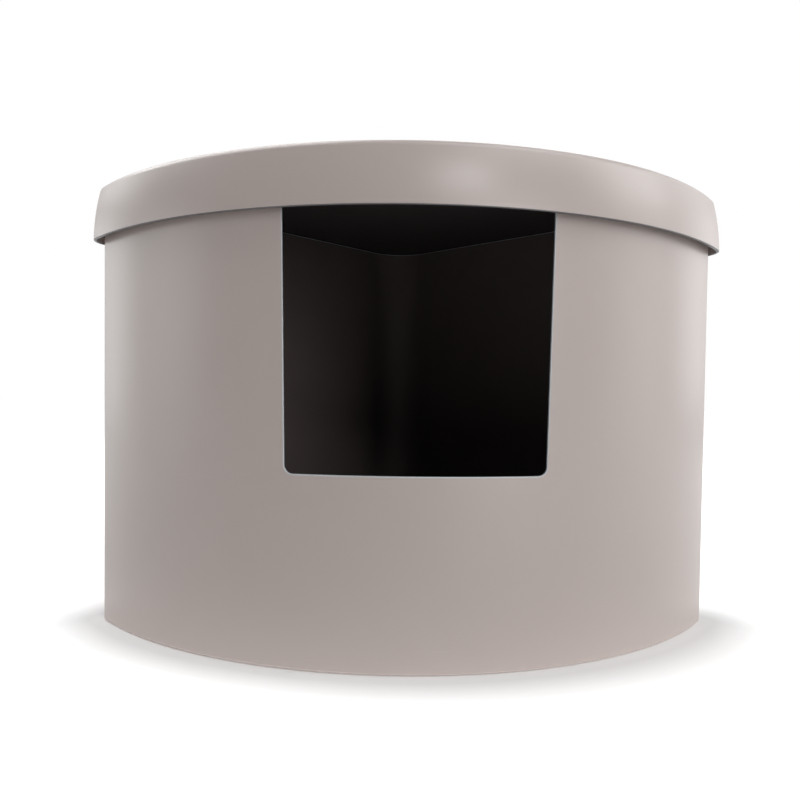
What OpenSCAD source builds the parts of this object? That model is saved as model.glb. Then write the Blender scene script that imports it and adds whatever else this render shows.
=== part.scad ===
// Covered corner litter box: a quarter-round tub with an entrance high in its
// curved front, a lift-off lid with a flared skirt, a lift-out litter pan and
// six rubber feet. Every wall is one profile swept round the same plan: a
// curved front, two rounded front corners, two straight rear walls at 45
// degrees and a rounded rear corner. Units are millimetres. The origin is on
// the ground under the middle of the plan, +Z is up, and -Y is the front.

/* [Plan] */
// Radius of the curved front wall at the base
front_r = 334; // [320:1:360]
// Width across the two front corners at the base, before they are rounded
body_w = 536; // [500:1:560]
// Rounding of the two front corners at the base
front_corner_r = 10; // [10:1:20]
// Rounding of the rear corner at the base
rear_corner_r = 40; // [20:1:70]

/* [Tub] */
// Height of the tub's rim above the ground
tub_h = 375.2; // [340:0.1:400]
// Thickness of the moulded tub
tub_t = 3; // [2.5:0.1:3.5]
// Outward lean of the tub's walls, in degrees
wall_draft = 0.6; // [0.2:0.1:1.2]
// Rounding of the tub's lower outside edge
base_edge_r = 1.5; // [1:0.5:3]
// Height of the tub's standing rim above the ground
standing_rim_z = 0.8; // [0.5:0.1:1.2]
// Height of the underside of the tub's floor above the ground
floor_z = 3; // [2.5:0.1:3.5]

/* [Entrance] */
// Height of the sill above the ground
sill_h = 141.8; // [125:0.1:160]
// Width of the entrance at the sill
entrance_w = 190.4; // [170:0.1:210]
// Outward lean of the entrance's sides, in degrees
entrance_lean = 1.2; // [0:0.1:3]
// Rounding of the entrance's lower corners
entrance_r = 6.5; // [4:0.5:15]

/* [Lid] */
// Height of the lid's flat top above the ground
lid_top_z = 379; // [345:0.1:405]
// Thickness of the moulded lid
lid_t = 2.5; // [2:0.1:3]
// Height of the skirt, from its lip to the lid's top
skirt_h = 48; // [35:1:60]
// Overhang of the lip outside the tub's wall
lip_overhang = 9; // [8:0.5:12]
// Inward lean of the skirt where it meets the top's rounding, in degrees
skirt_lean = 13; // [8:1:13]
// Rounding of the lid's upper edge
lid_edge_r = 7; // [5:0.5:8]

/* [Litter pan] */
// Height of the pan's rim above the ground
pan_top_z = 98; // [85:1:130]
// Thickness of the moulded pan
pan_t = 2.2; // [2:0.1:3]
// Inset of the pan's rim from the tub's outline
pan_inset = 4.5; // [4.2:0.1:8]
// Rounding of the pan's front corners at its rim
pan_corner_r = 46; // [42:1:60]
// Width of the pan's rolled rim
pan_rim_w = 14; // [10:1:16]
// Depth of the rim's turned-down edge
pan_lip_h = 8; // [5:1:10]
// Inward lean of the pan's walls towards the floor, in degrees
pan_draft = 4; // [3:0.5:6]
// Length of each hand hole
hand_hole_w = 92; // [80:1:110]
// Height of each hand hole
hand_hole_h = 24; // [20:1:28]

/* [Feet] */
// Diameter of each rubber foot
foot_d = 24; // [20:1:30]
// Width of the gap between a foot and its ring
foot_gap = 0.5; // [0.3:0.1:1]
// Wall thickness of the ring round each foot
foot_ring_t = 2; // [1.5:0.1:3]
// Depth of the ring round each foot
foot_ring_h = 1.2; // [0.8:0.1:1.6]

/* [Hidden] */
$fn = 120;

warm_grey = "#a39a94";
black = "#1b1a1a";
rubber_grey = "#3a3a3a";

// Clearance kept between pieces that rest on each other or lift past each other
seat_gap = 0.3;
// Height of the lid's lip above the ground
lip_z = lid_top_z - skirt_h;
// Steps along each rounded stretch of a profile
round_steps = 5;
// Height of the top of the tub's floor, and of the pan's underside
floor_top_z = floor_z + tub_t;
pan_base_z = floor_top_z + seat_gap;
// Radius of the small bevels on sheet edges
edge_bevel = 0.6;
// Depth that a cutter runs past the face it cuts
past = 1;
// Each rounded corner laps over the walls beside it by this angle, and stands proud by this much
lap_angle = 1.2;
lap_proud = 0.03;
// Each flat plate laps over the sweep that carries it by this width, and lies this much deeper
plate_lap = 1.5;
plate_step = 0.1;
// Least radius at the inner end of a swept floor or top
least_r = 1.5;

// Distance from the front of the base to the chord between the front corners
sagitta = front_r - sqrt(pow(front_r, 2) - pow(body_w / 2, 2));
// Distance of each rear wall from the foremost point, along the wall's normal
wall_off = (body_w / 2 + sagitta) / sqrt(2);
// Depth of the base outline, and the shift that centres it on the origin
body_d = sqrt(2) * (wall_off - rear_corner_r) + rear_corner_r;
centre_y = body_d / 2;
arc_centre = [0, front_r - centre_y];
left_normal = [-1, 1] / sqrt(2);
left_along = [1, 1] / sqrt(2);

// A plan is [inset from the tub's base outline, front corner radius, rear corner radius]
tub_plan = [0, front_corner_r, rear_corner_r];
pan_rear_extra_r = 8;
pan_plan = [pan_inset, pan_corner_r, rear_corner_r + pan_rear_extra_r];
// Raised field in the middle of the pan's floor
field_inset = 78;
field_corner_r = 20;
field_plan = [pan_inset + field_inset, field_corner_r, field_corner_r];
field_rise = 2;

function plan_front_r(p) = front_r - p[0];
function plan_wall_off(p) = wall_off - p[0] - centre_y / sqrt(2);

// Centre of the left front corner's rounding
function corner_centre(p) =
    let (across = plan_wall_off(p) - p[1] - left_normal * arc_centre)
    let (reach = plan_front_r(p) - p[1])
    arc_centre + left_normal * across - left_along * sqrt(pow(reach, 2) - pow(across, 2));

// Centre of the rear corner's rounding
function rear_centre(p) = [0, sqrt(2) * (plan_wall_off(p) - p[2])];

// Angle from straight ahead to the end of the front curve
function front_half_angle(p) =
    let (v = corner_centre(p) - arc_centre)
    atan2(-v[0], -v[1]);

function round_points(centre, r, a0, a1, steps = round_steps) =
    [for (i = [0:steps]) centre + r * [cos(a0 + (a1 - a0) * i / steps), sin(a0 + (a1 - a0) * i / steps)]];

// Leaves out points that repeat the next one
function distinct(pts) =
    [for (i = [0:len(pts) - 1]) if (norm(pts[(i + 1) % len(pts)] - pts[i]) > 0.001) pts[i]];

function edge_normal(a, b) = [b[1] - a[1], a[0] - b[0]] / norm(b - a);

// Moves every edge of a counter-clockwise outline outward by d
function grown(pts, d) =
    [for (i = [0:len(pts) - 1])
        let (n0 = edge_normal(pts[(i + len(pts) - 1) % len(pts)], pts[i]))
        let (n1 = edge_normal(pts[i], pts[(i + 1) % len(pts)]))
        pts[i] + d * (n0 + n1) / (1 + n0 * n1)];

// One rounded corner of the plan, lapped over the walls that it joins
module sweep_corner(centre, r, a0, turn, pts) {
    translate(centre)
        rotate_extrude(angle = turn + 2 * lap_angle, start = a0 - lap_angle)
            translate([r, 0])
                polygon(grown(pts, lap_proud));
}

// Sweeps a profile of [outward, up] points round the whole plan
module sweep(p, profile) {
    pts = distinct(profile);
    half = front_half_angle(p);
    corner_turn = 135 - half;
    left = corner_centre(p);
    right = [-left[0], left[1]];
    rear = rear_centre(p);
    wall_l = (rear - left) * left_along;
    right_normal = [-left_normal[0], left_normal[1]];
    translate(arc_centre)
        rotate_extrude(angle = 2 * half, start = -90 - half)
            translate([plan_front_r(p), 0])
                polygon(pts);
    translate(left + p[1] * left_normal)
        rotate([90, 0, 135])
            linear_extrude(height = wall_l)
                polygon(pts);
    translate(rear + p[2] * right_normal)
        rotate([90, 0, 45])
            linear_extrude(height = wall_l)
                polygon(pts);
    sweep_corner(left, p[1], 135, corner_turn, pts);
    sweep_corner(right, p[1], 45 - corner_turn, corner_turn, pts);
    sweep_corner(rear, p[2], 45, 90, pts);
}

// Points of the plan's outline at an offset, for the flat plates that the sweeps carry
function plan_points(p, out) =
    let (half = front_half_angle(p))
    let (left = corner_centre(p))
    let (left_pts = round_points(left, p[1] + out, 270 - half, 135, 8))
    let (front_pts = round_points(arc_centre, plan_front_r(p) + out, -90 + half, -90 - half, 48))
    let (rear_pts = round_points(rear_centre(p), p[2] + out, 135, 45, 12))
    concat(front_pts, left_pts, rear_pts, [for (i = [8:-1:0]) [-left_pts[i][0], left_pts[i][1]]]);

module plate(p, out, z0, z1) {
    translate([0, 0, z0])
        linear_extrude(height = z1 - z0)
            polygon(plan_points(p, out));
}

function wall_lean(z) = z * tan(wall_draft);

// Foot places, clear of the standing rim
foot_side_x = 215;
foot_front_x = 105;
foot_side_y = arc_centre[1] - 222;
foot_front_y = arc_centre[1] - 272;
foot_rear_y = rear_centre(tub_plan)[1] - 6;
foot_places = [[-foot_front_x, foot_front_y], [foot_front_x, foot_front_y], [-foot_side_x, foot_side_y],
               [foot_side_x, foot_side_y], [0, foot_rear_y], [0, 0]];

// Width of the tub's standing rim, and of the sloped step up to the floor
rim_flat_w = 3;
rim_step_w = 2;
tub_floor_end = least_r - front_corner_r;

// Standing rim, wall and start of the floor of the tub
function tub_profile() =
    let (inner_r = 3)
    let (rim_x = -base_edge_r - rim_flat_w)
    let (swept_top_z = floor_top_z + plate_step)
    let (out_centre = [-base_edge_r, standing_rim_z + base_edge_r])
    let (in_centre = [-tub_t - inner_r, swept_top_z + inner_r])
    let (rim_out = wall_lean(tub_h))
    concat(
        [[tub_floor_end, swept_top_z], [tub_floor_end, floor_z + plate_step]],
        [[rim_x - rim_step_w, floor_z + plate_step], [rim_x, standing_rim_z]],
        round_points(out_centre, base_edge_r, -90, 0),
        [[rim_out, tub_h - edge_bevel], [rim_out - edge_bevel, tub_h]],
        [[rim_out - tub_t + edge_bevel, tub_h], [rim_out - tub_t, tub_h - edge_bevel]],
        round_points(in_centre, inner_r, 0, -90)
    );

// Doorway outline, seen from the front: [x, z]
module entrance_shape() {
    top_z = tub_h + past;
    half_top = entrance_w / 2 + (top_z - sill_h) * tan(entrance_lean);
    round_x = entrance_w / 2 - entrance_r * (1 - sin(entrance_lean)) / cos(entrance_lean);
    round_z = sill_h + entrance_r;
    polygon(concat(
        round_points([-round_x, round_z], entrance_r, 180 + entrance_lean, 270, 8),
        round_points([round_x, round_z], entrance_r, -90, -entrance_lean, 8),
        [[half_top, top_z], [-half_top, top_z]]
    ));
}

module foot_ring() {
    ring_r = foot_d / 2 + foot_gap;
    translate([0, 0, floor_z - foot_ring_h])
        difference() {
            cylinder(r = ring_r + foot_ring_t, h = foot_ring_h + past);
            translate([0, 0, -past])
                cylinder(r = ring_r, h = foot_ring_h + past);
        }
}

module tub() {
    color(warm_grey)
        difference() {
            union() {
                sweep(tub_plan, tub_profile());
                plate(tub_plan, tub_floor_end + plate_lap, floor_z, floor_top_z);
                for (place = foot_places)
                    translate(place)
                        foot_ring();
            }
            translate([0, arc_centre[1] - front_r / 2, 0])
                rotate([90, 0, 0])
                    linear_extrude(height = front_r)
                        entrance_shape();
        }
}

lid_top_end = least_r - front_corner_r;

// Skirt and edge of the lid, with an arc for the flare and an arc for the upper edge
function lid_profile() =
    let (out_x = wall_lean(lip_z) + lip_overhang)
    let (run = skirt_h - lid_edge_r * (1 - sin(skirt_lean)))
    let (skirt_r = run / sin(skirt_lean))
    let (skirt_centre = [out_x - skirt_r, lip_z])
    let (edge_centre = skirt_centre + (skirt_r - lid_edge_r) * [cos(skirt_lean), sin(skirt_lean)])
    let (bevel_turn = edge_bevel / skirt_r * 180 / PI)
    concat(
        [[out_x - lid_t + edge_bevel, lip_z], [out_x - edge_bevel, lip_z]],
        round_points(skirt_centre, skirt_r, bevel_turn, skirt_lean),
        round_points(edge_centre, lid_edge_r, skirt_lean, 90),
        [[lid_top_end, lid_top_z], [lid_top_end, lid_top_z - lid_t]],
        round_points(edge_centre, lid_edge_r - lid_t, 90, skirt_lean),
        round_points(skirt_centre, skirt_r - lid_t, skirt_lean, bevel_turn)
    );

module lid() {
    color(warm_grey) {
        sweep(tub_plan, lid_profile());
        plate(tub_plan, lid_top_end + plate_lap, lid_top_z - plate_step - lid_t, lid_top_z - plate_step);
    }
}

pan_floor_end = least_r - pan_corner_r;

// Wall, rolled rim and foot of the pan, drawn inward from the rim's outer edge
function pan_profile() =
    let (rim_r = 3)
    let (foot_r = 9)
    let (swept_base_z = pan_base_z + plate_step)
    let (foot_z = swept_base_z + foot_r)
    let (wall_foot_x = -pan_rim_w - (pan_top_z - foot_z) * tan(pan_draft))
    let (out_foot = [wall_foot_x - foot_r, foot_z])
    concat(
        [[-pan_t, pan_top_z - pan_lip_h], [0, pan_top_z - pan_lip_h]],
        round_points([-rim_r, pan_top_z - rim_r], rim_r, 0, 90, 4),
        round_points([-pan_rim_w - pan_t + rim_r, pan_top_z - rim_r], rim_r, 90, 180 - pan_draft, 4),
        round_points(out_foot, foot_r - pan_t, -pan_draft, -90, 4),
        [[pan_floor_end, swept_base_z + pan_t], [pan_floor_end, swept_base_z]],
        round_points(out_foot, foot_r, -90, -pan_draft, 4),
        round_points([-pan_rim_w - pan_t + rim_r, pan_top_z - rim_r], rim_r - pan_t, 180 - pan_draft, 90, 2),
        round_points([-rim_r, pan_top_z - rim_r], rim_r - pan_t, 90, 0, 2)
    );

// Oblong hole through a rear wall of the pan, square to the wall
module hand_hole(side) {
    under_lip = 6;
    hole_z = pan_top_z - pan_lip_h - under_lip - hand_hole_h / 2;
    straight = hand_hole_w - hand_hole_h;
    middle = (corner_centre(pan_plan) + rear_centre(pan_plan)) / 2;
    depth = 2 * pan_corner_r;
    translate([side * middle[0], middle[1], hole_z])
        rotate([0, 0, side * 45])
            rotate([90, 0, 0]) {
                for (end = [-1, 1])
                    translate([end * straight / 2, 0, -depth])
                        cylinder(d = hand_hole_h, h = depth);
                translate([-straight / 2, -hand_hole_h / 2, -depth])
                    cube([straight, hand_hole_h, depth]);
            }
}

module litter_pan() {
    color(black)
        difference() {
            union() {
                sweep(pan_plan, pan_profile());
                plate(pan_plan, pan_floor_end + plate_lap, pan_base_z, pan_base_z + pan_t);
                plate(field_plan, 0, pan_base_z + pan_t / 2, pan_base_z + pan_t + field_rise);
            }
            plate(field_plan, -pan_t, pan_base_z - past, pan_base_z + field_rise);
            for (side = [-1, 1])
                hand_hole(side);
        }
}

module foot(index) {
    edge = 0.8;
    color(rubber_grey)
        translate(foot_places[index])
            rotate_extrude()
                polygon([[0, 0], [foot_d / 2 - edge, 0], [foot_d / 2, edge], [foot_d / 2, floor_z], [0, floor_z]]);
}

tub();
lid();
litter_pan();
foot(0);  // foot_front_left
foot(1);  // foot_front_right
foot(2);  // foot_side_left
foot(3);  // foot_side_right
foot(4);  // foot_rear
foot(5);  // foot_middle
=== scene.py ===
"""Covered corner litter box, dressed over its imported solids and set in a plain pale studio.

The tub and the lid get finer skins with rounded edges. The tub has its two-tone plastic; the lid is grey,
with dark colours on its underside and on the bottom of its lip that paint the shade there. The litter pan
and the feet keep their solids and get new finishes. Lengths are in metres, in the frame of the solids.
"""

from __future__ import annotations

import logging
import math
from dataclasses import dataclass, field
from enum import Enum
from typing import Callable, Sequence, Union

import bpy
from bpy.types import Material, Node, NodeSocket, NodeTree, Object, Scene
from mathutils import Matrix, Vector
from mathutils.geometry import delaunay_2d_cdt


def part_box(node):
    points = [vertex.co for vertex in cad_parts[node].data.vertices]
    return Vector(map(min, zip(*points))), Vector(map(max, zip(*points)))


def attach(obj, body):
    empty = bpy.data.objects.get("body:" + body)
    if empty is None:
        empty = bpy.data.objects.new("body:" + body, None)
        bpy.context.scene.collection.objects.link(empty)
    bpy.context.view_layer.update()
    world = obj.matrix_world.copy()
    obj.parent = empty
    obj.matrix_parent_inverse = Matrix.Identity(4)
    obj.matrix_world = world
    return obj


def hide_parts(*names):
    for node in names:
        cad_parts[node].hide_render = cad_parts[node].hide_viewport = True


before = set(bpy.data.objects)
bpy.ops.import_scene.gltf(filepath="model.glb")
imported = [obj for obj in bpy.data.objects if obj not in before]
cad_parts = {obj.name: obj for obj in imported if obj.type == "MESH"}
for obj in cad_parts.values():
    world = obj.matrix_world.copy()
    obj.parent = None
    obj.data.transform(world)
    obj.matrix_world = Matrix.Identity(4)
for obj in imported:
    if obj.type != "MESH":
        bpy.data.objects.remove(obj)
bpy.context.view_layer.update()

log = logging.getLogger("litter_box")

MM = 0.001
ROOT_2 = math.sqrt(2)
RIGHT_WALL, LEFT_WALL = math.radians(135), math.radians(225)  # headings of the rear walls
KEYS_PER_METRE = 1e6  # corners in the same micrometre are one vertex
FILL_INSIDE = 1  # output type of the triangulation
MERGE_DISTANCE = 1e-5  # of the triangulation, in millimetres
NOISE_MIDDLE = (0.3, 0.7)  # where most values of a noise lie
Corner = tuple[Vector, Vector]
Point2 = tuple[float, float]
Span = tuple[int, int]
Colour = tuple[float, float, float]
Value = Union[NodeSocket, float]
Inputs = dict[Union[str, int], Union[Value, Sequence[float]]]
Wire = Callable[[NodeTree, Node, Node], None]


class Face(Enum):
    """Which finish a face of a moulded skin takes, in the order of the skin's material slots."""

    OUTSIDE = 0
    INSIDE = 1
    CUT_EDGE = 2


# Plan and profiles

@dataclass(frozen=True)
class Station:
    """A place on the tub's base outline.

    Attributes:
        x: Place on the base outline.
        y: Place on the base outline.
        heading: Way out from the outline, in radians from the front (-Y) towards the right.
    """

    x: float
    y: float
    heading: float

    def at(self, out: float, z: float) -> Vector:
        """Returns the point at a distance outside the base outline and a height."""
        return Vector((self.x + out * math.sin(self.heading), self.y - out * math.cos(self.heading), z))

    def normal(self, across: float, up: float) -> Vector:
        """Returns the direction with that outward and that upward part."""
        return Vector((across * math.sin(self.heading), -across * math.cos(self.heading), up)).normalized()


Stations = Sequence[Station]


@dataclass(frozen=True)
class Plan:
    """Outline of the tub's base: a curved front, two rear walls at 45 degrees and three rounded corners."""

    front_r: float = 334 * MM
    body_w: float = 536 * MM
    front_corner_r: float = 10 * MM
    rear_corner_r: float = 40 * MM
    front_steps: int = 120
    corner_steps: int = 12
    wall_steps: int = 12
    rear_steps: int = 20

    @property
    def wall_off(self) -> float:
        """Distance of a rear wall from the foremost point, along the wall's normal."""
        sagitta = self.front_r - math.sqrt(self.front_r ** 2 - (self.body_w / 2) ** 2)
        return (self.body_w / 2 + sagitta) / ROOT_2

    @property
    def centre_y(self) -> float:
        """Half the depth of the base."""
        return (ROOT_2 * (self.wall_off - self.rear_corner_r) + self.rear_corner_r) / 2

    @property
    def arc_y(self) -> float:
        """Y of the centre of the curved front."""
        return self.front_r - self.centre_y

    @property
    def rear_y(self) -> float:
        """Y of the centre of the rear corner's rounding."""
        return ROOT_2 * (self.wall_off - self.rear_corner_r) - self.centre_y

    @property
    def corner(self) -> Point2:
        """Centre of the right front corner's rounding."""
        across = self.wall_off - self.centre_y / ROOT_2 - self.front_corner_r - self.arc_y / ROOT_2
        along = math.sqrt((self.front_r - self.front_corner_r) ** 2 - across ** 2)
        x = (across + along) / ROOT_2
        y = self.arc_y + (across - along) / ROOT_2
        return x, y

    @property
    def half_angle(self) -> float:
        """Heading at the end of the curved front."""
        x, y = self.corner
        return math.atan2(x, self.arc_y - y)

    def on_arc(self, heading: float) -> Station:
        """Returns the station of the curved front at a heading."""
        return Station(
            self.front_r * math.sin(heading), self.arc_y - self.front_r * math.cos(heading), heading)

    def stations(self) -> list[Station]:
        """Returns the stations round the whole outline, from the left end of the curved front."""
        half = self.half_angle
        spots = [self.on_arc(half * (2 * i / self.front_steps - 1)) for i in range(self.front_steps + 1)]
        spots += self._round(self.corner, self.front_corner_r, half, RIGHT_WALL, self.corner_steps)
        spots += self._straight(spots[-1], self._rear(RIGHT_WALL))
        spots += self._round((0, self.rear_y), self.rear_corner_r, RIGHT_WALL, LEFT_WALL, self.rear_steps)
        left = (-self.corner[0], self.corner[1])
        r = self.front_corner_r
        spots += self._straight(spots[-1], self._round(left, r, LEFT_WALL, LEFT_WALL, 1)[0])
        spots += self._round(left, r, LEFT_WALL, math.tau - half, self.corner_steps)[:-1]
        return spots

    def _rear(self, heading: float) -> Station:
        """Returns the station of the rear corner at a heading."""
        r = self.rear_corner_r
        return Station(r * math.sin(heading), self.rear_y - r * math.cos(heading), heading)

    def _straight(self, start: Station, end: Station) -> list[Station]:
        """Returns the stations between two ends of a rear wall, with the far end."""
        steps = self.wall_steps
        return [Station(start.x + (end.x - start.x) * i / steps, start.y + (end.y - start.y) * i / steps,
                        end.heading) for i in range(1, steps + 1)]

    @staticmethod
    def _round(centre: Point2, r: float, start: float, end: float, steps: int) -> list[Station]:
        """Returns the stations of a rounded corner after its first one."""
        headings = [start + (end - start) * i / steps for i in range(1, steps + 1)]
        return [Station(centre[0] + r * math.sin(h), centre[1] - r * math.cos(h), h) for h in headings]


@dataclass(frozen=True)
class Stop:
    """A point of a profile: its place outside the base outline, its height and its shading normal."""

    out: float
    z: float
    across: float
    up: float


def arc(centre: Point2, r: float, start: float, end: float, steps: int, inward: bool = False) -> list[Stop]:
    """Rounded stretch of a profile.

    Args:
        centre: Centre, as a place outside the outline and a height.
        r: Radius.
        start: First angle in degrees, 0 outward and 90 up.
        end: Last angle in degrees.
        steps: Number of steps.
        inward: True for a hollow, whose normals point at the centre.

    Returns:
        The stops from the first angle to the last.
    """
    sign = -1 if inward else 1
    stops = []
    for i in range(steps + 1):
        a = math.radians(start + (end - start) * i / steps)
        stops.append(Stop(centre[0] + r * math.cos(a), centre[1] + r * math.sin(a),
                          sign * math.cos(a), sign * math.sin(a)))
    return stops


def straight(start: Point2, end: Point2, steps: int = 1) -> list[Stop]:
    """Straight stretch of a profile, with its solid on the left of its direction.

    Args:
        start: First point, as a place outside the outline and a height.
        end: Last point.
        steps: Number of steps.

    Returns:
        The stops from the first point to the last.
    """
    run, rise = end[0] - start[0], end[1] - start[1]
    size = math.hypot(run, rise)
    return [Stop(start[0] + run * i / steps, start[1] + rise * i / steps, rise / size, -run / size)
            for i in range(steps + 1)]


# Skins

@dataclass
class Skin:
    """Collects faces with exact shading normals and turns them into a mesh object."""

    name: str
    points: list[Vector] = field(default_factory=list)
    places: dict[tuple[int, int, int], int] = field(default_factory=dict)
    faces: list[tuple[int, ...]] = field(default_factory=list)
    normals: list[Vector] = field(default_factory=list)
    finishes: list[int] = field(default_factory=list)

    def vertex(self, point: Vector) -> int:
        """Returns the number of the vertex at a point, and makes it where there is none."""
        key = tuple(round(c * KEYS_PER_METRE) for c in point)
        if key not in self.places:
            self.places[key] = len(self.points)
            self.points.append(point)
        return self.places[key]

    def face(self, corners: Sequence[Corner], finish: Face) -> None:
        """Adds a face, turned so that its front agrees with its normals.

        Args:
            corners: Point and shading normal of each corner, in order.
            finish: Finish of the face.
        """
        kept: list[tuple[int, Vector]] = []
        for point, normal in corners:
            number = self.vertex(point)
            if not any(number == other for other, _ in kept):
                kept.append((number, normal))
        if len(kept) < 3:
            return
        loop = [self.points[number] for number, _ in kept]
        turn = Vector((0, 0, 0))
        for i, p in enumerate(loop):
            turn += p.cross(loop[(i + 1) % len(loop)])
        mean = Vector((0, 0, 0))
        for _, normal in kept:
            mean += normal
        if turn.dot(mean) < 0:
            kept.reverse()
        self.faces.append(tuple(number for number, _ in kept))
        self.normals += [normal for _, normal in kept]
        self.finishes.append(finish.value)

    def grid(self, rows: Sequence[Sequence[Corner]], finish: Face, closed: bool = True,
             keep: Callable[[int, int], bool] = lambda row, column: True) -> None:
        """Adds quads between neighbouring rows.

        Args:
            rows: Rows of corners, all of one length.
            finish: Finish of the faces.
            closed: True where each row is a closed ring.
            keep: Says whether the quad after a row and a column is wanted.
        """
        for r in range(len(rows) - 1):
            count = len(rows[r])
            for c in range(count if closed else count - 1):
                if keep(r, c):
                    n = (c + 1) % count
                    self.face((rows[r][c], rows[r][n], rows[r + 1][n], rows[r + 1][c]), finish)

    def sweep(self, stations: Stations, stops: Sequence[Stop], finish: Face,
              keep: Callable[[int, int], bool] = lambda row, column: True) -> None:
        """Adds a profile swept round the stations, as grid() does."""
        rows = [[(s.at(p.out, p.z), s.normal(p.across, p.up)) for s in stations] for p in stops]
        self.grid(rows, finish, keep=keep)

    def plate(self, stations: Stations, out: float, z: float, up: float, finish: Face) -> None:
        """Adds a flat plate that fills the stations' ring at a height."""
        self.face([(s.at(out, z), Vector((0, 0, up))) for s in stations], finish)

    def build(self, finishes: Sequence[Material]) -> Object:
        """Makes the mesh object.

        Args:
            finishes: Materials in the order of Face.

        Returns:
            The new object, linked to the scene.
        """
        mesh = bpy.data.meshes.new(self.name)
        mesh.from_pydata(self.points, [], self.faces)
        mesh.polygons.foreach_set("material_index", self.finishes)
        mesh.polygons.foreach_set("use_smooth", [True] * len(self.faces))
        for material in finishes:
            mesh.materials.append(material)
        mesh.update()
        mesh.normals_split_custom_set([tuple(n) for n in self.normals])
        piece = bpy.data.objects.new(self.name, mesh)
        bpy.context.scene.collection.objects.link(piece)
        return piece


@dataclass(frozen=True)
class EdgePlace:
    """A place along a sheet's cut edge: the sharp edge on both faces, and where the rounding starts."""

    outer: Vector
    outer_start: Vector
    outer_normal: Vector
    inner: Vector
    inner_start: Vector
    inner_normal: Vector

    def ring(self, roundness: float, steps: int) -> list[Corner]:
        """Rounded cross-section of the edge.

        Args:
            roundness: Distance from the sharp edge to where its rounding starts.
            steps: Steps in each rounding.

        Returns:
            The corners from the outer face to the inner one.
        """
        across = (self.inner - self.outer).normalized()
        way_in = self.outer_start - self.outer
        cut = -(way_in - across * way_in.dot(across)).normalized()
        near = self.outer + across * roundness
        far = self.inner - across * roundness
        corners = self._rounded(self.outer_start, self.outer, near, self.outer_normal, cut, steps)
        corners += self._rounded(far, self.inner, self.inner_start, cut, self.inner_normal, steps)
        return corners

    @staticmethod
    def _rounded(a: Vector, sharp: Vector, b: Vector, normal_a: Vector, normal_b: Vector,
                 steps: int) -> list[Corner]:
        """Returns the corners along one rounding that replaces a sharp edge."""
        corners = []
        for i in range(steps + 1):
            t = i / steps
            point = a * (1 - t) ** 2 + sharp * 2 * t * (1 - t) + b * t ** 2
            corners.append((point, (normal_a * (1 - t) + normal_b * t).normalized()))
        return corners


# Sub-assemblies

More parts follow.
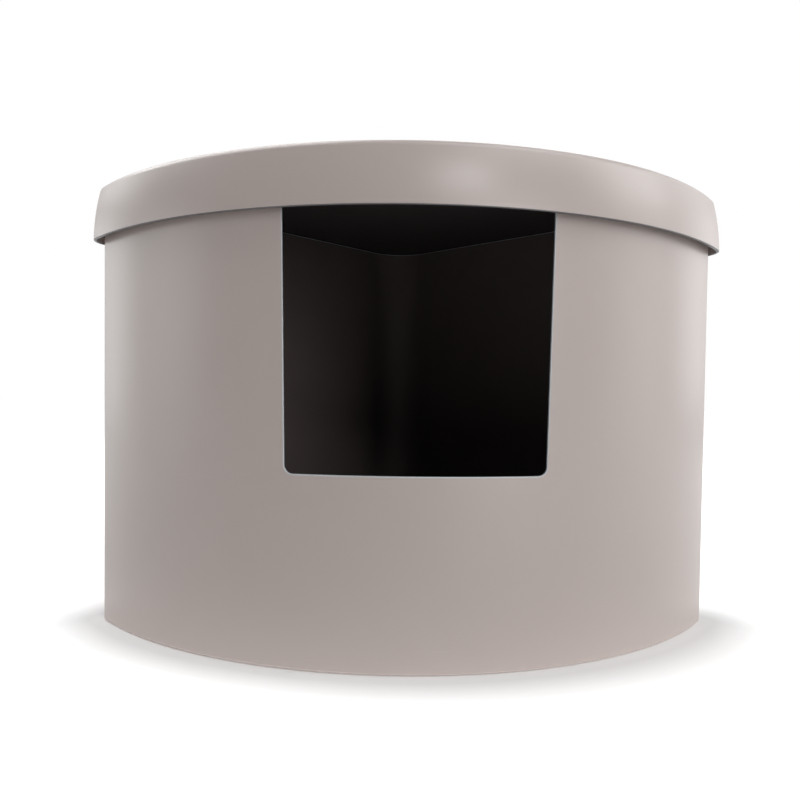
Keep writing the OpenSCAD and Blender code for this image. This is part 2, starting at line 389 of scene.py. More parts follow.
@dataclass
class Tub:
    """The moulded tub: walls swept round the plan, floor, standing rim, foot rings and entrance.

    The window is the part of the front wall round the entrance that is filled as one sheet.
    """

    plan: Plan
    height: float = 375.2 * MM
    thick: float = 3 * MM
    rim_lean: float = 3.93 * MM
    base_edge_r: float = 1.5 * MM
    standing_z: float = 0.8 * MM
    floor_z: float = 3 * MM
    floor_round: float = 3 * MM
    floor_end: float = -6.5 * MM
    standing_w: float = 3 * MM
    edge_round: float = 0.9 * MM
    sill_z: float = 141.8 * MM
    entrance_w: float = 190.4 * MM
    entrance_lean: float = math.radians(1.2)
    entrance_r: float = 6.5 * MM
    head_r: float = 2.5 * MM
    window_heading: float = math.radians(23)
    window_z: float = 112 * MM
    row_levels: tuple[float, ...] = tuple(z * MM for z in (30, 60, 86, 112, 145, 180, 220, 260, 300, 340))
    entrance_margin: float = 12 * MM
    base_edge_steps: int = 8
    floor_steps: int = 6
    edge_steps: int = 4
    head_steps: int = 5
    jamb_steps: int = 12
    sill_corner_steps: int = 10
    sill_steps: int = 18
    ring_turns: int = 48
    foot_r: float = 12 * MM
    foot_gap: float = 0.5 * MM
    ring_t: float = 2 * MM
    ring_h: float = 1.2 * MM
    feet: tuple[str, ...] = ("foot_front_left", "foot_front_right", "foot_side_left", "foot_side_right",
                             "foot_rear", "foot_middle")

    @property
    def floor_top(self) -> float:
        """Height of the top of the floor."""
        return self.floor_z + self.thick

    def outer_out(self, z: float) -> float:
        """Returns how far the outer face stands outside the base outline at a height."""
        foot = self.standing_z + self.base_edge_r
        return self.rim_lean * (z - foot) / (self.height - foot)

    def face_out(self, z: float, inside: bool) -> float:
        """Returns the place of the outer or the inner face at a height."""
        return self.outer_out(z) - (self.thick if inside else 0)

    def wall_rows(self, start: float) -> list[float]:
        """Returns the heights of the wall's rows, from a start to the rim's rounding."""
        return [start, *[z for z in self.row_levels if z > start], self.height - self.edge_round]

    def build(self, finishes: Sequence[Material]) -> Object:
        """Makes the tub's skin.

        Args:
            finishes: Materials in the order of Face.

        Returns:
            The tub's object.
        """
        skin = Skin("tub_skin")
        stations = self.plan.stations()
        steps = self.plan.front_steps
        first = min(range(steps + 1), key=lambda i: abs(stations[i].heading + self.window_heading))
        window = (first, steps - first)
        self._base(skin, stations)
        for inside in (False, True):
            self._wall(skin, stations, window, inside)
            self._window(skin, stations, window, inside)
        places = [self._rim_place(s) for s in stations[window[1] + 1:] + stations[:window[0]]]
        places += self._entrance_places(stations, window)
        rings = [place.ring(self.edge_round, self.edge_steps) for place in places]
        # The rounded cut edges take the third finish, which is partly a painted highlight.
        skin.grid([[ring[i] for ring in rings] for i in range(len(rings[0]))], Face.CUT_EDGE)
        for name in self.feet:
            self._foot_ring(skin, name)
        log.info("tub skin: %d faces", len(skin.faces))
        return skin.build(finishes)

    def _base(self, skin: Skin, stations: Stations) -> None:
        """Adds the standing rim, the floor and the roundings at the foot of the walls."""
        end, low, r = self.floor_end, self.standing_z, self.base_edge_r
        flat_end = -r - self.standing_w
        skin.plate(stations, end, self.floor_z, -1, Face.OUTSIDE)
        inner = self.floor_round
        foot_z = self.floor_top + inner
        foot = self.face_out(foot_z, True)
        for stops, finish in (
            (straight((end, self.floor_z), (flat_end, low)), Face.OUTSIDE),
            (straight((flat_end, low), (-r, low)), Face.OUTSIDE),
            (arc((-r, low + r), r, -90, 0, self.base_edge_steps), Face.OUTSIDE),
            (arc((foot - inner, foot_z), inner, 0, -90, self.floor_steps, inward=True), Face.INSIDE),
            (straight((foot - inner, self.floor_top), (end, self.floor_top)), Face.INSIDE),
        ):
            skin.sweep(stations, stops, finish)
        skin.plate(stations, end, self.floor_top, 1, Face.INSIDE)

    def _foot_z(self, inside: bool) -> float:
        """Returns the height at which a face of the wall starts."""
        return self.floor_top + self.floor_round if inside else self.standing_z + self.base_edge_r

    def _wall(self, skin: Skin, stations: Stations, window: Span, inside: bool) -> None:
        """Adds one face of the wall, without the window that the entrance is cut in."""
        rows = self.wall_rows(self._foot_z(inside))
        sign = -1 if inside else 1
        lean = self.rim_lean / self.height
        stops = [Stop(self.face_out(z, inside), z, sign, -sign * lean) for z in rows]

        def keep(row: int, column: int) -> bool:
            """Says whether the quad is outside the window."""
            return not (rows[row] > self.window_z - MM and window[0] <= column < window[1])

        skin.sweep(stations, stops, Face.INSIDE if inside else Face.OUTSIDE, keep)

    def _outline(self, stations: Stations,
                 window: Span) -> list[tuple[float, float, float]]:
        """Sharp outline of the wall's upper edge across the window.

        Args:
            stations: Stations round the plan.
            window: First and last station of the window.

        Returns:
            Points as x, z and a weight, 0 where the inner edge keeps the heading and 1 where it keeps x.
        """
        lean, r, top, quarter = self.entrance_lean, self.entrance_r, self.height, math.pi / 2
        head_z = top - self.head_r
        half = self.entrance_w / 2
        head_x = half + (head_z - self.sill_z) * math.tan(lean) + self.head_r / math.cos(lean)
        round_x = half - r * (1 - math.sin(lean)) / math.cos(lean)
        round_z = self.sill_z + r
        rim_r = self.plan.front_r + self.outer_out(top)
        rim = [rim_r * math.sin(s.heading) for s in stations[window[0]:window[1] + 1]]
        left = [(x, top) for x in rim if x < -head_x - MM]
        for i in range(self.head_steps + 1):
            a = quarter + (lean - quarter) * i / self.head_steps
            left.append((-head_x + self.head_r * math.cos(a), head_z + self.head_r * math.sin(a)))
        upper, lower = left[-1], (-round_x - r * math.cos(lean), round_z - r * math.sin(lean))
        jamb = self.jamb_steps
        left += [(upper[0] + (lower[0] - upper[0]) * i / jamb, upper[1] + (lower[1] - upper[1]) * i / jamb)
                 for i in range(1, jamb)]
        for i in range(self.sill_corner_steps + 1):
            a = math.pi + lean + (quarter - lean) * i / self.sill_corner_steps
            left.append((-round_x + r * math.cos(a), round_z + r * math.sin(a)))
        left += [(-round_x * (1 - i / self.sill_steps), self.sill_z) for i in range(1, self.sill_steps)]
        path = left + [(0.0, self.sill_z)] + [(-x, z) for x, z in reversed(left)]
        ends = abs(path[0][0])
        weighted = []
        for x, z in path:
            reach = (ends - abs(x)) / (ends - head_x)
            weighted.append((x, z, max(0.0, min(1.0, reach)) if z == top else 1.0))
        return weighted

    def _flat_path(self, stations: Stations, window: Span,
                   inside: bool) -> tuple[list[Point2], list[Point2]]:
        """Unrolls the outline onto one face.

        Args:
            stations: Stations round the plan.
            window: First and last station of the window.
            inside: True for the inner face.

        Returns:
            The sharp outline and the line where its rounding starts, as heading times radius and height.
        """
        sharp: list[Point2] = []
        for x, z, weight in self._outline(stations, window):
            outer_r = self.plan.front_r + self.outer_out(z)
            heading = math.asin(x / outer_r)
            if inside:
                same_x = math.asin(max(-1.0, min(1.0, x / (outer_r - self.thick))))
                heading += (same_x - heading) * weight
            sharp.append((self.plan.front_r * heading, z))
        start: list[Point2] = []
        for i, (u, z) in enumerate(sharp):
            before = sharp[max(i - 1, 0)]
            after = sharp[min(i + 1, len(sharp) - 1)]
            du, dz = after[0] - before[0], after[1] - before[1]
            size = math.hypot(du, dz)
            start.append((u + self.edge_round * dz / size, z - self.edge_round * du / size))
        return sharp, start

    def _on_face(self, flat: Point2, inside: bool) -> Corner:
        """Returns the point and the normal of a face at an unrolled place."""
        station = self.plan.on_arc(flat[0] / self.plan.front_r)
        sign = -1 if inside else 1
        normal = station.normal(sign, -sign * self.rim_lean / self.height)
        return station.at(self.face_out(flat[1], inside), flat[1]), normal

    def _window(self, skin: Skin, stations: Stations, window: Span, inside: bool) -> None:
        """Adds the part of one face that lies round the entrance."""
        _, start = self._flat_path(stations, window, inside)
        rows = [z for z in self.wall_rows(self._foot_z(inside)) if z > self.window_z - MM]
        across = [self.plan.front_r * s.heading for s in stations[window[0]:window[1] + 1]]
        border = list(start)
        border += [(across[-1], z) for z in reversed(rows[:-1])]
        border += [(u, rows[0]) for u in reversed(across[:-1])]
        border += [(across[0], z) for z in rows[1:-1]]
        limit = self.entrance_w / 2 + self.entrance_margin
        extra = [(u, z) for u in across[1:-1:2] for z in rows[1:-1] if abs(u) > limit]
        points = [Vector((u / MM, z / MM)) for u, z in border + extra]
        ring = list(range(len(border)))
        made, _, faces, _, _, _ = delaunay_2d_cdt(points, [], [ring], FILL_INSIDE, MERGE_DISTANCE)
        finish = Face.INSIDE if inside else Face.OUTSIDE
        for face in faces:
            skin.face([self._on_face((made[i].x * MM, made[i].y * MM), inside) for i in face], finish)

    def _entrance_places(self, stations: Stations, window: Span) -> list[EdgePlace]:
        """Returns the places along the wall's upper edge inside the window, from left to right."""
        outer, outer_start = self._flat_path(stations, window, False)
        inner, inner_start = self._flat_path(stations, window, True)
        places = []
        for a, b, c, d in zip(outer, outer_start, inner, inner_start):
            start, normal = self._on_face(b, False)
            inner_begin, inner_normal = self._on_face(d, True)
            places.append(EdgePlace(self._on_face(a, False)[0], start, normal,
                                    self._on_face(c, True)[0], inner_begin, inner_normal))
        return places

    def _rim_place(self, station: Station) -> EdgePlace:
        """Returns the place of the rim at a station outside the window."""
        low = self.height - self.edge_round
        lean = self.rim_lean / self.height
        return EdgePlace(
            station.at(self.face_out(self.height, False), self.height),
            station.at(self.face_out(low, False), low),
            station.normal(1, -lean),
            station.at(self.face_out(self.height, True), self.height),
            station.at(self.face_out(low, True), low),
            station.normal(-1, lean),
        )

    def _foot_ring(self, skin: Skin, name: str) -> None:
        """Adds the moulded ring round one foot."""
        low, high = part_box(name)
        centre = Vector(((low[0] + high[0]) / 2, (low[1] + high[1]) / 2, 0))
        inner_r = self.foot_r + self.foot_gap
        outer_r = inner_r + self.ring_t
        bottom, top = self.floor_z - self.ring_h, self.floor_z
        angles = [math.tau * i / self.ring_turns for i in range(self.ring_turns)]
        turns = [Vector((math.cos(a), math.sin(a), 0)) for a in angles]
        down = Vector((0, 0, -1))

        def row(r: float, z: float, normal: Callable[[Vector], Vector]) -> list[Corner]:
            """Returns one ring of corners."""
            return [(centre + t * r + Vector((0, 0, z)), normal(t)) for t in turns]

        for (r, z), (end_r, end_z), normal in (
            ((outer_r, top), (outer_r, bottom), lambda t: t),
            ((outer_r, bottom), (inner_r, bottom), lambda t: down),
            ((inner_r, bottom), (inner_r, top), lambda t: -t),
        ):
            skin.grid([row(r, z, normal), row(end_r, end_z, normal)], Face.OUTSIDE)


@dataclass
class Lid:
    """The lift-off lid: a flat top and a skirt that flares to an overhanging lip.

    The skirt is grey on both sides. The underside of the top and the bottom of the lip are dark: painted
    shade where the grey lid lies in shadow.
    """

    plan: Plan
    top_z: float = 379 * MM
    thick: float = 2.5 * MM
    skirt_h: float = 48 * MM
    wall_lean: float = math.radians(0.6)
    overhang: float = 9 * MM
    skirt_lean: float = 13
    edge_r: float = 7 * MM
    edge_round: float = 0.8 * MM
    top_end: float = -8.5 * MM
    edge_steps: int = 12
    skirt_steps: int = 14
    lip_steps: int = 5
    under_steps: int = 10

    def build(self, finishes: Sequence[Material]) -> Object:
        """Makes the lid's skin.

        Args:
            finishes: Materials in the order of Face.

        Returns:
            The lid's object.
        """
        skin = Skin("lid_skin")
        stations = self.plan.stations()
        lip_z = self.top_z - self.skirt_h
        out = math.tan(self.wall_lean) * lip_z + self.overhang
        lean = math.radians(self.skirt_lean)
        skirt_r = (self.skirt_h - self.edge_r * (1 - math.sin(lean))) / math.sin(lean)
        centre = (out - skirt_r, lip_z)
        reach = skirt_r - self.edge_r
        edge = (centre[0] + reach * math.cos(lean), centre[1] + reach * math.sin(lean))
        r = self.edge_round
        turn = math.degrees(r / skirt_r)
        skin.plate(stations, self.top_end, self.top_z, 1, Face.OUTSIDE)
        inner_r, under, slant = skirt_r - self.thick, self.top_z - self.thick, self.skirt_lean
        outer, inner = arc(centre, skirt_r, turn, turn, 1)[0], arc(centre, inner_r, turn, turn, 1)[0]
        for stops, finish in (
            (straight((edge[0], self.top_z), (self.top_end, self.top_z)), Face.OUTSIDE),
            (arc(edge, self.edge_r, 90, slant, self.edge_steps), Face.OUTSIDE),
            (arc(centre, skirt_r, slant, turn, self.skirt_steps), Face.OUTSIDE),
            # The bottom of the lip takes the third slot, whose dark finish is painted shade.
            (arc((outer.out - r, outer.z), r, 0, -90, self.lip_steps), Face.CUT_EDGE),
            (straight((inner.out + r, lip_z), (outer.out - r, lip_z)), Face.CUT_EDGE),
            (arc((inner.out + r, inner.z), r, -90, -180, self.lip_steps), Face.CUT_EDGE),
            (arc(centre, inner_r, turn, slant, self.skirt_steps, inward=True), Face.OUTSIDE),
            # The underside and its plate take the second slot, whose dark finish is painted shade.
            (arc(edge, self.edge_r - self.thick, slant, 90, self.under_steps, inward=True), Face.INSIDE),
            (straight((self.top_end, under), (edge[0], under)), Face.INSIDE),
        ):
            skin.sweep(stations, stops, finish)
        skin.plate(stations, self.top_end, under, -1, Face.INSIDE)
        log.info("lid skin: %d faces", len(skin.faces))
        return skin.build(finishes)


# Finishes

def node_group(name: str, inputs: dict[str, float], outputs: Sequence[str], wire: Wire) -> NodeTree:
    """Makes a shader node group once.

    Args:
        name: Name of the group.
        inputs: Value of each numeric input by name; a vector input named Place always comes first.
        outputs: Names of the numeric outputs.
        wire: Adds the nodes between the group's input and output nodes.

    Returns:
        The group.
    """
    if name in bpy.data.node_groups:
        return bpy.data.node_groups[name]
    tree = bpy.data.node_groups.new(name, "ShaderNodeTree")
    tree.interface.new_socket("Place", in_out="INPUT", socket_type="NodeSocketVector")
    for key, value in inputs.items():
        socket = tree.interface.new_socket(key, in_out="INPUT", socket_type="NodeSocketFloat")
        socket.default_value = value
    for key in outputs:
        tree.interface.new_socket(key, in_out="OUTPUT", socket_type="NodeSocketFloat")
    wire(tree, tree.nodes.new("NodeGroupInput"), tree.nodes.new("NodeGroupOutput"))
    return tree


def feed(tree: NodeTree, node: Node, values: Inputs) -> Node:
    """Links inputs of a node to sockets, or sets them to values, and returns the node."""
    for key, value in values.items():
        if isinstance(value, NodeSocket):
            tree.links.new(value, node.inputs[key])
        else:
            node.inputs[key].default_value = value
    return node


def math_node(tree: NodeTree, operation: str, a: Value, b: Value = 0.0) -> NodeSocket:
    """Adds a Math node whose inputs are sockets or numbers, and returns its output."""
    node = feed(tree, tree.nodes.new("ShaderNodeMath"), {0: a, 1: b})
    node.operation = operation
    return node.outputs[0]


def noise_node(tree: NodeTree, place: NodeSocket, scale: Value, detail: float,
               roughness: float = 0.5, distortion: float = 0.0) -> NodeSocket:
    """Adds a Noise Texture whose scale is a socket or a number, and returns its factor."""
    values = {"Vector": place, "Scale": scale, "Detail": detail, "Roughness": roughness,
              "Distortion": distortion}
    return feed(tree, tree.nodes.new("ShaderNodeTexNoise"), values).outputs["Fac"]


def ramp_node(tree: NodeTree, value: NodeSocket, reach: Sequence[Value],
              levels: Sequence[float] = (0.0, 1.0)) -> NodeSocket:
    """Adds a Map Range node.

    Args:
        tree: Tree that gets the node.
        value: Value that is mapped.
        reach: Values at which the ramp starts and ends, as sockets or numbers.
        levels: Results at the start and at the end.

    Returns:
        The mapped value.
    """
    values = {"Value": value, "From Min": reach[0], "From Max": reach[1], "To Min": levels[0],
              "To Max": levels[1]}
    return feed(tree, tree.nodes.new("ShaderNodeMapRange"), values).outputs["Result"]


def moulded_surface() -> NodeTree:
    """Returns the group for moulded plastic: fine grain, slow waves of the sheet and cloudy tone."""

    def wire(tree: NodeTree, source: Node, target: Node) -> None:
        """Adds the group's nodes."""
        place = source.outputs["Place"]
        grain = noise_node(tree, place, source.outputs["Grain scale"], detail=3, roughness=0.6)
        waves = noise_node(tree, place, source.outputs["Wave scale"], detail=1, roughness=0.4)
        fine = math_node(tree, "MULTIPLY", grain, source.outputs["Grain height"])
        slow = math_node(tree, "MULTIPLY", waves, source.outputs["Wave height"])
        cloud = noise_node(tree, place, source.outputs["Cloud scale"], detail=4, roughness=0.55,
                           distortion=0.6)
        feed(tree, target, {"Height": math_node(tree, "ADD", fine, slow), "Cloud": cloud, "Grain": grain})

    return node_group(
        "moulded_surface",
        {"Grain scale": 900, "Grain height": 0.25, "Wave scale": 7, "Wave height": 1.0, "Cloud scale": 9},
        ("Height", "Cloud", "Grain"), wire)


def handling_marks() -> NodeTree:
    """Returns the group for light wear: thin rubbed streaks and small scuffs, both sparse."""
    streak_turn = (0.3, 0.9, 0.2)
    streak_stretch = (1.0, 1.0, 22.0)
    patch_reach = (0.55, 0.7)

    def wire(tree: NodeTree, source: Node, target: Node) -> None:
        """Adds the group's nodes."""
        place = source.outputs["Place"]
        stretch = feed(tree, tree.nodes.new("ShaderNodeMapping"),
                       {"Vector": place, "Rotation": streak_turn, "Scale": streak_stretch})
        lines = noise_node(tree, stretch.outputs["Vector"], source.outputs["Streak scale"], detail=2,
                           distortion=0.2)
        where = noise_node(tree, place, source.outputs["Patch scale"], detail=1)
        spots = noise_node(tree, place, source.outputs["Scuff scale"], detail=5, roughness=0.7)

        def above(value: NodeSocket, limit: str) -> NodeSocket:
            """Returns how far a noise is above its limit, from 0 to 1 with a soft border."""
            start = source.outputs[limit]
            return ramp_node(tree, value, (start, math_node(tree, "ADD", start, source.outputs["Border"])))

        sparse = ramp_node(tree, where, patch_reach)
        streaks = math_node(tree, "MULTIPLY", above(lines, "Streak limit"), sparse)
        feed(tree, target, {"Streaks": streaks, "Scuffs": above(spots, "Scuff limit")})

    return node_group(
        "handling_marks",
        {"Streak scale": 24, "Streak limit": 0.66, "Patch scale": 11, "Scuff scale": 60,
         "Scuff limit": 0.74, "Border": 0.12},
        ("Streaks", "Scuffs"), wire)


@dataclass(frozen=True)
class Plastic:
    """A moulded plastic or rubber finish.

    Attributes:
        name: Name of the material.
        colour: Linear base colour.
        cloud_colour: Linear colour at the far end of the cloudy tone.
        roughness: Middle roughness.
        roughness_swing: How far the grain moves the roughness.
        specular: Specular level, 0.5 for an ordinary plastic.
        bump: Strength of the bump.
        bump_depth: Depth of the bump in metres.
        grain_scale: Scale of the grain.
        wave_height: Height of the slow waves, against the grain.
        marks: How strongly the handling marks show.
        marks_colour: Linear colour of the marks.
    """

    name: str
    colour: Colour
    cloud_colour: Colour
    roughness: float = 0.4
    roughness_swing: float = 0.06
    specular: float = 0.5
    bump: float = 0.25
    bump_depth: float = 0.0002
    grain_scale: float = 900
    wave_height: float = 1.0
    marks: float = 0.0
    marks_colour: Colour = (0.5, 0.46, 0.44)

    def build(self) -> Material:
        """Makes the material with its nodes."""
        material = bpy.data.materials.new(self.name)
        material.use_nodes = True
        tree = material.node_tree
        shader = tree.nodes["Principled BSDF"]
        place = tree.nodes.new("ShaderNodeTexCoord").outputs["Object"]
        surface = tree.nodes.new("ShaderNodeGroup")
        surface.node_tree = moulded_surface()
        feed(tree, surface,
             {"Place": place, "Grain scale": self.grain_scale, "Wave height": self.wave_height})
        colour = self._mix(tree, surface.outputs["Cloud"], self.colour, self.cloud_colour)
        if self.marks:
            colour = self._add_marks(tree, place, colour)
        levels = (self.roughness - self.roughness_swing, self.roughness + self.roughness_swing)
        roughness = ramp_node(tree, surface.outputs["Grain"], NOISE_MIDDLE, levels)
        bump = feed(tree, tree.nodes.new("ShaderNodeBump"), {
            "Strength": self.bump, "Distance": self.bump_depth, "Height": surface.outputs["Height"]})
        feed(tree, shader, {"Base Color": colour, "Roughness": roughness, "Normal": bump.outputs["Normal"],
                            "Specular IOR Level": self.specular})
        return material

    @staticmethod
    def _mix(tree: NodeTree, factor: NodeSocket, a: Colour | NodeSocket, b: Colour) -> NodeSocket:
        """Adds a Mix node between two colours and returns its result."""
        mix = tree.nodes.new("ShaderNodeMix")
        mix.data_type = "RGBA"
        first = a if isinstance(a, NodeSocket) else (*a, 1)
        return feed(tree, mix, {"Factor": factor, "A": first, "B": (*b, 1)}).outputs["Result"]

    def _add_marks(self, tree: NodeTree, place: NodeSocket, colour: NodeSocket) -> NodeSocket:
        """Adds the handling marks over a colour and returns the new colour."""
        marks = tree.nodes.new("ShaderNodeGroup")
        marks.node_tree = handling_marks()
        feed(tree, marks, {"Place": place})
        both = math_node(tree, "MAXIMUM", marks.outputs["Streaks"], marks.outputs["Scuffs"])
        return self._mix(tree, math_node(tree, "MULTIPLY", both, self.marks), colour, self.marks_colour)


WARM_GREY = Plastic("warm_grey_plastic", (0.340, 0.291, 0.273), (0.358, 0.308, 0.288), roughness=0.32,
                    roughness_swing=0.04, marks=0.12)
DARK_INSIDE = Plastic("dark_inner_plastic", (0.096, 0.077, 0.073), (0.114, 0.092, 0.087), roughness=0.62,
                      specular=0.3)
# Painted shade: the lid is warm grey all through, and this dark colour on its underside stands in for the
# shade inside the box.
LID_UNDERSIDE_SHADE = Plastic("painted_shade_lid_underside", (0.070, 0.060, 0.058), (0.084, 0.072, 0.070), roughness=0.6,
                        specular=0.3)
# Painted shade: a darker copy of the grey for the bottom of the lid's lip, standing in for the shadow line
# under it.
LID_LIP_SHADE = Plastic("painted_shade_lid_lip", (0.070, 0.066, 0.070), (0.090, 0.084, 0.088), roughness=0.45)
# Partly the sheet's paler core at its cut, partly a painted highlight: the pale bluish tone stands in for
# light caught by the rounded edges.
CUT_EDGE = Plastic("pale_cut_edge_and_painted_highlight", (0.36, 0.38, 0.40), (0.42, 0.44, 0.46), roughness=0.35)
PAN_PLASTIC = Plastic("black_pan_plastic", (0.010, 0.009, 0.009), (0.016, 0.014, 0.014), roughness=0.5,
                      grain_scale=500, bump=0.5)
FOOT_RUBBER = Plastic("dark_foot_rubber", (0.022, 0.022, 0.022), (0.035, 0.034, 0.033), roughness=0.72,
                      specular=0.35, grain_scale=700, bump=0.6)


# Studio

@dataclass(frozen=True)
class PhotoCamera:
    """The photograph's camera, with lengths in millimetres and angles in degrees.

    Attributes:
        place: Place of the lens, with its depth counted from the foremost point of the base.
        yaw: Turn of the view towards the right.
        pitch: Tilt of the view upwards.
        roll: Turn of the camera about its axis.
        focal_px: Focal length in pixels of the photograph.
        frame_px: Width and height of the photograph in pixels.
        centre_px: How far the optical axis lies right of the photograph's middle, in pixels.
        sensor_w: Width of the camera's sensor.
        clip_start: Nearest distance that is drawn, in metres.
    """

    place: tuple[float, float, float] = (-35.781, -509.756, 196.739)
    yaw: float = 1.654
    pitch: float = -0.109
    roll: float = 0.745
    focal_px: float = 722.255
    frame_px: float = 800
    centre_px: float = -11.514
    sensor_w: float = 36
    clip_start: float = 0.01

    def build(self, plan: Plan) -> Object:
        """Makes the camera and sets it as the scene's own."""
        data = bpy.data.cameras.new("photo_camera")
        data.sensor_width = self.sensor_w
        data.lens = self.focal_px / self.frame_px * self.sensor_w
        data.shift_x = -self.centre_px / self.frame_px
        data.clip_start = self.clip_start
        camera = bpy.data.objects.new("photo_camera", data)
        yaw, pitch, roll = (math.radians(a) for a in (self.yaw, self.pitch, self.roll))
        ahead = Vector((math.sin(yaw) * math.cos(pitch), math.cos(yaw) * math.cos(pitch), math.sin(pitch)))
        right = Vector((math.cos(yaw), -math.sin(yaw), 0))
        up = right.cross(ahead)
        right, up = (math.cos(roll) * right + math.sin(roll) * up,
                     math.cos(roll) * up - math.sin(roll) * right)
        x, y, z = (c * MM for c in self.place)
        turn = Matrix((right, up, -ahead)).transposed().to_4x4()
        camera.matrix_world = Matrix.Translation((x, y - plan.centre_y, z)) @ turn
        bpy.context.scene.collection.objects.link(camera)
        bpy.context.scene.camera = camera
        return camera


@dataclass(frozen=True)
class Softbox:
    """A soft light that faces the object.

    Attributes:
        side: Side or part of the object that it lights, the first part of its name.
        azimuth: Degrees from the front (-Y) towards the right.
        elevation: Degrees above the ground.
        level: Radiance of its surface, where 1 is white.
        size: Width and height in metres.
        distance: Distance in metres from the point it faces.
        aim_z: Height of that point, half the object's height.
    """

    side: str
    azimuth: float
    elevation: float
    level: float
    size: tuple[float, float] = (0.9, 0.9)
    distance: float = 2.4
    aim_z: float = 0.19

    def build(self) -> Object:
        """Makes the area light."""
        name = self.side + "_softbox"
        data = bpy.data.lights.new(name, "AREA")
        data.shape = "RECTANGLE"
        data.size, data.size_y = self.size
        data.energy = self.level * math.pi * self.size[0] * self.size[1]
        light = bpy.data.objects.new(name, data)
        a, e = math.radians(self.azimuth), math.radians(self.elevation)
        way = Vector((math.sin(a) * math.cos(e), -math.cos(a) * math.cos(e), math.sin(e)))
        light.location = Vector((0, 0, self.aim_z)) + way * self.distance
        light.rotation_euler = way.to_track_quat("Z", "Y").to_euler()
        light.visible_camera = False
        bpy.context.scene.collection.objects.link(light)
        return light


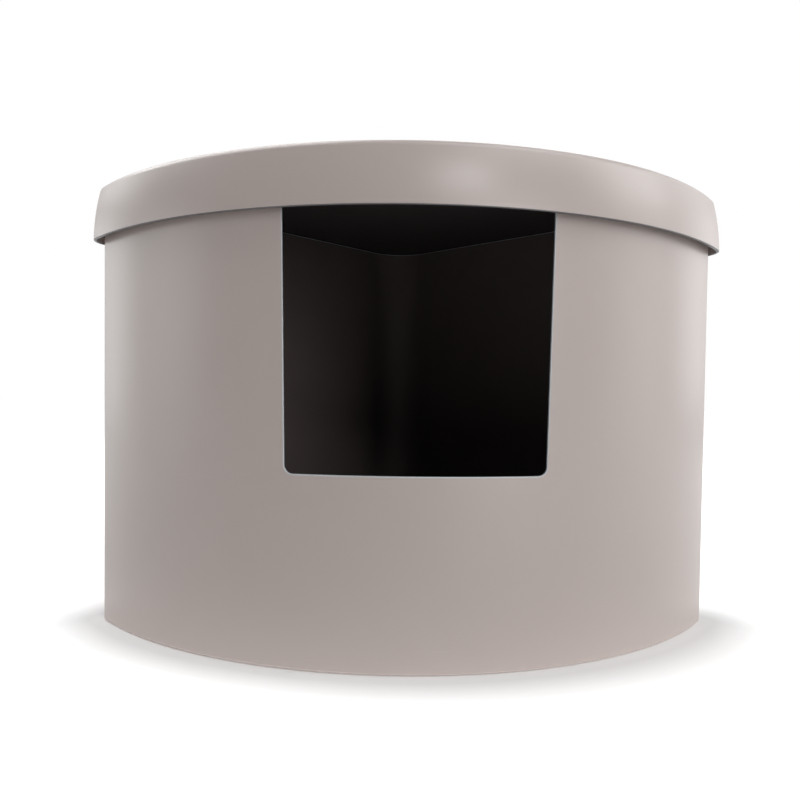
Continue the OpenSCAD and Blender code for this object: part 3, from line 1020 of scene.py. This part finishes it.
@dataclass(frozen=True)
class Studio:
    """Plain white surroundings: world, floor and soft lights.

    Attributes:
        plan: Outline that the floor's tones are measured from.
        floor_size: Side of the floor in metres.
        floor_colour: Grey level of the floor.
        glow: Glow of the floor as a light, beside the object and away from it.
        glow_reach: Distance from the outline at which the first glow has become the second.
        seen: Glow of the floor where it is seen, beside the object, away from it and at the horizon; it is
            lowest beside the object, which paints a shadow ring round the base.
        seen_reach: Distances from the outline at which the seen glow starts and ends each of its two rises.
        world_level: Level of the surroundings as a light.
        softboxes: The soft lights.
    """

    plan: Plan
    floor_size: float = 30.0
    floor_colour: float = 0.72
    glow: tuple[float, float] = (1.15, 0.1)
    glow_reach: float = 0.08
    seen: tuple[float, float, float] = (0.03, 0.55, 1.0)
    seen_reach: tuple[float, float, float, float] = (0.012, 0.062, 0.3, 2.0)
    world_level: float = 0.05
    softboxes: tuple[Softbox, ...] = (
        Softbox("highlight", 18, 30, 10.2, (0.5, 0.5)),
        Softbox("front_low", 30, 8, 5.2),
        Softbox("right_high", 50, 58, 2.95, (1.6, 1.6)),
        Softbox("right", 80, 32, 4.0),
        Softbox("right_low", 80, 8, 1.3),
        Softbox("right_rear", 110, 10, 1.5),
        Softbox("right_rear_high", 110, 32, 0.9),
        Softbox("left", -110, 32, 2.3),
        Softbox("left_low", -110, 8, 2.1),
        Softbox("left_high", -110, 58, 3.3, (1.8, 1.8)),
        Softbox("left_front", -80, 8, 1.6),
        Softbox("rear", 180, 40, 1.2, (1.8, 1.2)),
    )

    def build(self) -> None:
        """Makes the world, the floor and the lights, and sets the plain view transform."""
        scene = bpy.context.scene
        scene.view_settings.view_transform = "Standard"
        self._world(scene)
        self._floor()
        for softbox in self.softboxes:
            log.info("light %s", softbox.build().name)

    @staticmethod
    def _seen_as_background(tree: NodeTree) -> NodeSocket:
        """Returns 1 for rays that show the background: from the camera, mirrored or let through."""
        path = tree.nodes.new("ShaderNodeLightPath")
        seen = math_node(tree, "MAXIMUM", path.outputs["Is Camera Ray"], path.outputs["Is Glossy Ray"])
        return math_node(tree, "MAXIMUM", seen, path.outputs["Is Transmission Ray"])

    def _world(self, scene: Scene) -> None:
        """Makes the world: white where it is seen, and a plain grey level as light."""
        world = bpy.data.worlds.new("plain_white")
        world.use_nodes = True
        tree = world.node_tree
        seen = self._seen_as_background(tree)
        level = ramp_node(tree, seen, (0.0, 1.0), (self.world_level, 1.0))
        feed(tree, tree.nodes["Background"], {"Color": (1, 1, 1, 1), "Strength": level})
        scene.world = world

    def _gap(self, tree: NodeTree) -> NodeSocket:
        """Returns the distance of a place on the floor outside the object's base outline."""
        plan = self.plan
        place = tree.nodes.new("ShaderNodeSeparateXYZ")
        tree.links.new(tree.nodes.new("ShaderNodeTexCoord").outputs["Object"], place.inputs[0])
        x, y = place.outputs["X"], place.outputs["Y"]
        ahead = math_node(tree, "SUBTRACT", y, plan.arc_y)
        squares = math_node(tree, "ADD", math_node(tree, "MULTIPLY", x, x),
                            math_node(tree, "MULTIPLY", ahead, ahead))
        from_centre = math_node(tree, "SQRT", squares)
        wall = (plan.wall_off - plan.centre_y * math.sqrt(0.5)) * ROOT_2
        sides = [math_node(tree, "SUBTRACT", from_centre, plan.front_r)]
        for way in ("ADD", "SUBTRACT"):
            slant = math_node(tree, "SUBTRACT", math_node(tree, way, y, x), wall)
            sides.append(math_node(tree, "MULTIPLY", slant, math.sqrt(0.5)))
        total: Value = 0.0
        for side in sides:
            outside = math_node(tree, "MAXIMUM", side, 0.0)
            total = math_node(tree, "ADD", math_node(tree, "MULTIPLY", outside, outside), total)
        return math_node(tree, "SQRT", total)

    def _floor(self) -> None:
        """Makes the floor: a pale sheet that turns white where it is seen and keeps the shadow, with a
        painted shadow ring and a pool of painted light round the base.
        """
        half = self.floor_size / 2
        mesh = bpy.data.meshes.new("floor")
        mesh.from_pydata([(-half, -half, 0), (half, -half, 0), (half, half, 0), (-half, half, 0)], [],
                         [(0, 1, 2, 3)])
        floor = bpy.data.objects.new("floor", mesh)
        bpy.context.scene.collection.objects.link(floor)
        material = bpy.data.materials.new("floor_white")
        material.use_nodes = True
        tree = material.node_tree
        tree.nodes.clear()
        gap = self._gap(tree)
        # Painted light and shade near the base: glow is a pool of light beside the outline that lights the
        # foot of the walls and that the camera doesn't see, and beside lifts the seen floor least next to
        # the outline, a painted shadow ring over the real shadow.
        glow = ramp_node(tree, gap, (0.0, self.glow_reach), self.glow)
        beside = ramp_node(tree, gap, self.seen_reach[:2], self.seen[:2])
        away = ramp_node(tree, gap, self.seen_reach[2:], (0.0, self.seen[2] - self.seen[1]))
        extra = math_node(tree, "SUBTRACT", math_node(tree, "ADD", beside, away), glow)
        shown = math_node(tree, "MULTIPLY", self._seen_as_background(tree), extra)
        diffuse = feed(tree, tree.nodes.new("ShaderNodeBsdfDiffuse"),
                       {"Color": (*[self.floor_colour] * 3, 1)})
        lift = feed(tree, tree.nodes.new("ShaderNodeEmission"),
                    {"Strength": math_node(tree, "ADD", shown, glow)})
        both = feed(tree, tree.nodes.new("ShaderNodeAddShader"),
                    {0: diffuse.outputs[0], 1: lift.outputs[0]})
        feed(tree, tree.nodes.new("ShaderNodeOutputMaterial"), {"Surface": both.outputs[0]})
        mesh.materials.append(material)


def dress(node: str, material: Material) -> None:
    """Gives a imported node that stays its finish."""
    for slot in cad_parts[node].material_slots:
        slot.material = material
    log.info("node %s: %s", node, material.name)


def main() -> None:
    """Builds the skins, dresses the solids that stay and sets the studio."""
    logging.basicConfig(level=logging.INFO, format="%(name)s: %(message)s")
    plan = Plan()
    tub = Tub(plan)
    # edge is the pale cut-edge finish, partly a painted highlight on the rounded edges.
    grey, dark, edge = WARM_GREY.build(), DARK_INSIDE.build(), CUT_EDGE.build()
    # under and lip are painted shade: dark colours for the shaded underside of the lid and the bottom of
    # its lip.
    under, lip = LID_UNDERSIDE_SHADE.build(), LID_LIP_SHADE.build()
    for assembly, node, body, finishes in (
        (tub, "tub", "tub_body", (grey, dark, edge)),
        (Lid(plan), "lid", "lid_body", (grey, under, lip)),
    ):
        piece = assembly.build(finishes)
        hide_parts(node)
        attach(piece, body)
        log.info("piece %s rides on %s", piece.name, body)
    dress("litter_pan", PAN_PLASTIC.build())
    rubber = FOOT_RUBBER.build()
    for foot in tub.feet:
        dress(foot, rubber)
    PhotoCamera().build(plan)
    Studio(plan).build()


if __name__ == "__main__":
    main()
